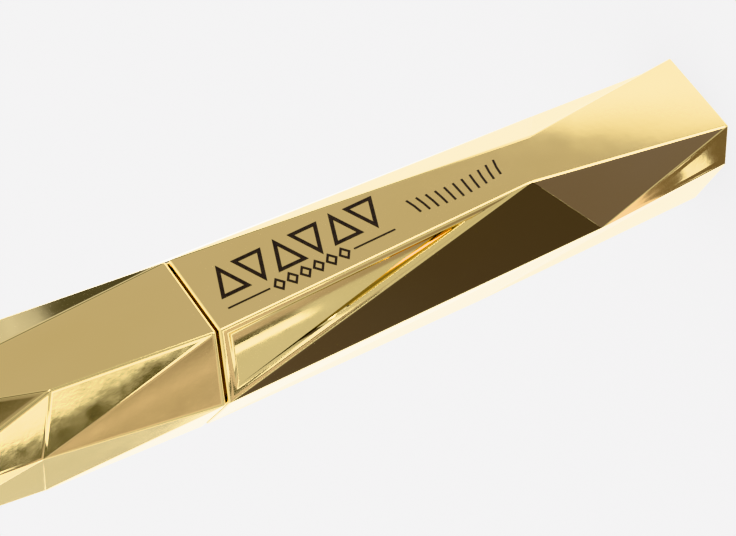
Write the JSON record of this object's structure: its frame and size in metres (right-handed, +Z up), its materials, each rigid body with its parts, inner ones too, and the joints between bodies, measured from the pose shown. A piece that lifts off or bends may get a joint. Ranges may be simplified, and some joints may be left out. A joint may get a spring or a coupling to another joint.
{
  "type": "mascara tube",
  "caption": "Faceted gold mascara tube: overshell with threaded vial and wiper, and a twist-off cap carrying a rod and brush.",
  "frame": {"origin": "centre of the flat base that the tube stands on", "axes": "+Z up along the tube to the cap's top, -Y towards the flat front panel, +X to the right of that panel"},
  "size_m": [0.0183, 0.0171, 0.1186],
  "materials": {
    "gold_metallised": "mirror gold vacuum-metallised moulding",
    "label_film": "matt film label",
    "vial_plastic": "dark smoky moulding",
    "collar_plastic": "black moulding",
    "wiper_plastic": "soft translucent moulding",
    "mascara_black": "glossy wet black cream",
    "insert_plastic": "black moulding",
    "seal_foam": "closed-cell foam",
    "rod_plastic": "polished black moulding",
    "wire_steel": "drawn stainless wire",
    "bristle_nylon": "black nylon fibre"
  },
  "bodies": {
    "bottle": {"bottle_shell": "gold_metallised", "base_label": "label_film", "vial": "vial_plastic", "neck_collar": "collar_plastic", "wiper": "wiper_plastic", "mascara_fill": "mascara_black"},
    "seal": {"cap_seal_ring": "seal_foam"},
    "cap": {"cap_shell": "gold_metallised", "cap_insert": "insert_plastic", "wand_rod": "rod_plastic", "brush_core": "wire_steel", "brush_bristles": "bristle_nylon"}
  },
  "joints": [
    {"name": "cap_pull", "type": "slide", "parent": "bottle", "child": "seal", "axis": [0, 0, 1], "range_m": [0, 0.07], "deforming": ["brush_bristles"]},
    {"name": "cap_turn", "type": "hinge", "parent": "seal", "child": "cap", "pos_m": [0, 0, 0.0718], "axis": [0, 0, 1], "range_deg": [0, 540]}
  ]
}
